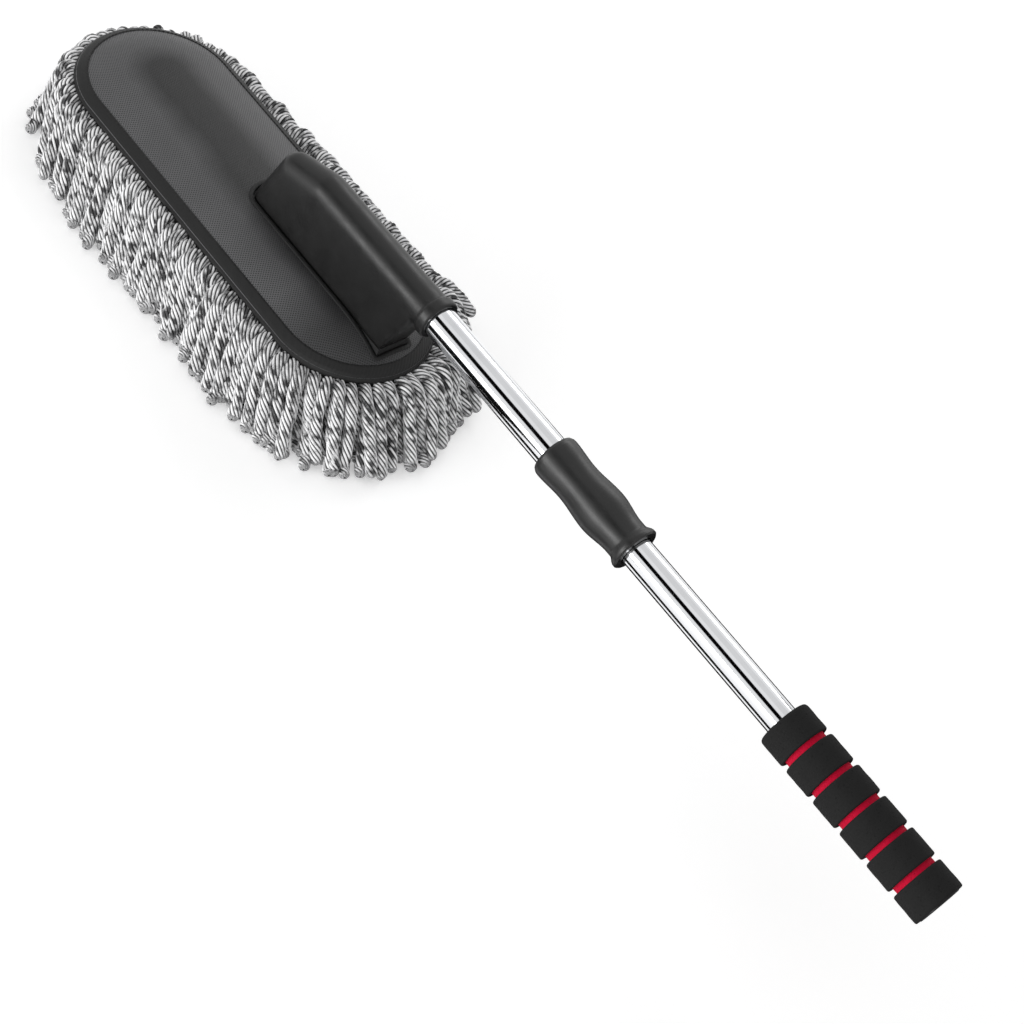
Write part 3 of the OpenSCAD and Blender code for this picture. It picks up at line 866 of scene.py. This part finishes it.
def camera_axes():
    """The camera's right, up and backward directions."""
    a, e = math.radians(AZIMUTH), math.radians(ELEVATION)
    back = Vector((math.sin(a) * math.cos(e), -math.cos(a) * math.cos(e), math.sin(e)))
    right = Vector((0, 0, 1)).cross(back).normalized()
    up = back.cross(right)
    roll = Matrix.Rotation(math.radians(ROLL), 3, back)
    return roll @ right, roll @ up, back


def build_camera():
    """The camera, aimed at the pole with a slight roll."""
    right, up, back = camera_axes()
    data = bpy.data.cameras.new("camera")
    data.sensor_width = 36
    data.lens = 18 / math.tan(math.radians(FIELD / 2))
    data.clip_end = 50
    cam = bpy.data.objects.new("camera", data)
    turn = Matrix((right, up, back)).transposed().to_4x4()
    cam.matrix_world = Matrix.Translation(AIM + back * DISTANCE) @ turn
    bpy.context.collection.objects.link(cam)
    bpy.context.scene.camera = cam


def area_light(name, position, target, size, watts):
    """A rectangular softbox that faces a target."""
    data = bpy.data.lights.new(name, "AREA")
    data.shape = "RECTANGLE"
    data.size, data.size_y = size
    data.energy = watts
    obj = bpy.data.objects.new(name, data)
    direction = Vector(target) - Vector(position)
    obj.rotation_mode = "QUATERNION"
    obj.rotation_quaternion = direction.to_track_quat("-Z", "Y")
    obj.location = position
    bpy.context.collection.objects.link(obj)
    return obj


def build_floor():
    """A wide sheet of pale paper under the object."""
    def paper(tree, shader):
        tone = remap(tree, noise(tree, 3.0, 2.0), 0.3, 0.7)
        feed(tree, shader, "Base Color", blend_colour(tree, tone, grey(0.93), grey(0.96)))
    bpy.ops.mesh.primitive_plane_add(size=12, location=(0.3, 0, 0))
    floor = bpy.context.object
    floor.name = "floor"
    floor.data.materials.append(material("floor_paper", paper, Roughness=0.9,
                                         Specular_IOR_Level=0.0, Emission_Color=grey(1.0),
                                         Emission_Strength=FLOOR_GLOW))


def glossy_card(name, lo, hi, z):
    """A black card flat on the floor that only reflections see."""
    verts = [(lo[0], lo[1], z), (hi[0], lo[1], z), (hi[0], hi[1], z), (lo[0], hi[1], z)]

    def flat(tree, shader):
        dusty = blend_colour(tree, noise(tree, 4.0), grey(0.0), grey(0.01))
        feed(tree, shader, "Base Color", dusty)
    black = material(name, flat, Specular_IOR_Level=0.0)
    card = mesh_object(name, verts, [(0, 1, 2, 3)], black, smooth=False)
    for kind in ("camera", "diffuse", "transmission", "volume_scatter", "shadow"):
        setattr(card, "visible_" + kind, False)


def build_world():
    """A white studio, with dark flags that only reflections see, placed round the pole."""
    world = bpy.data.worlds.new("studio")
    bpy.context.scene.world = world
    world.use_nodes = True
    tree = world.node_tree
    tree.nodes.clear()
    direction = add(tree, "TexCoord").outputs["Generated"]
    back = camera_axes()[2]
    along = Vector((1, 0, 0))
    across = along.cross(back).normalized()
    facing = across.cross(along).normalized()
    if across.z < 0:
        across.negate()
    side, front = (add(tree, "VectorMath", {0: direction, 1: axis},
                       operation="DOT_PRODUCT").outputs["Value"] for axis in (across, facing))
    angle = calc(tree, "MULTIPLY", calc(tree, "ARCTAN2", side, front), 180 / math.pi)
    level = None
    for centre, half, soft, dark in FLAGS:
        gap = calc(tree, "ABSOLUTE", calc(tree, "SUBTRACT", angle, float(centre)))
        band = remap(tree, gap, half, half + soft, dark, 1.0)
        level = band if level is None else calc(tree, "MULTIPLY", level, band)
    white = add(tree, "Background", {"Color": (1, 1, 1, 1), "Strength": AMBIENT})
    seen = add(tree, "Background", {"Color": blend_colour(tree, level, grey(0.0), grey(1.0)),
                                    "Strength": AMBIENT_SEEN})
    glossy = add(tree, "LightPath").outputs["Is Glossy Ray"]
    mixer = add(tree, "MixShader", {0: glossy, 1: white.outputs[0], 2: seen.outputs[0]})
    out = add(tree, "OutputWorld")
    tree.links.new(mixer.outputs[0], out.inputs[0])


def build_studio():
    build_floor()
    build_world()
    build_camera()
    area_light("key", (0.05, -1.5, 0.29), (0.25, 0, 0.1), (1.7, 0.42), 17)
    area_light("back", (-0.25, 1.10, 0.80), (0.15, 0, 0.1), (1.2, 0.5), 5)
    glossy_card("floor_flag_left", (-0.05, -0.60), (0.20, -0.127), 0.001)
    glossy_card("floor_flag_front", (0.16, -0.125), (0.80, -0.060), 0.001)
    glossy_card("floor_flag_under", (0.16, -0.020), (0.80, 0.550), 0.001)
    bpy.context.scene.view_settings.view_transform = "Standard"


build_cover()
build_binding()
build_slot_binding()
build_stitches()
build_hidden_layers()
build_yarn()
build_spine()
build_tubes()
build_grip()
finish_cad_nodes()
build_studio()
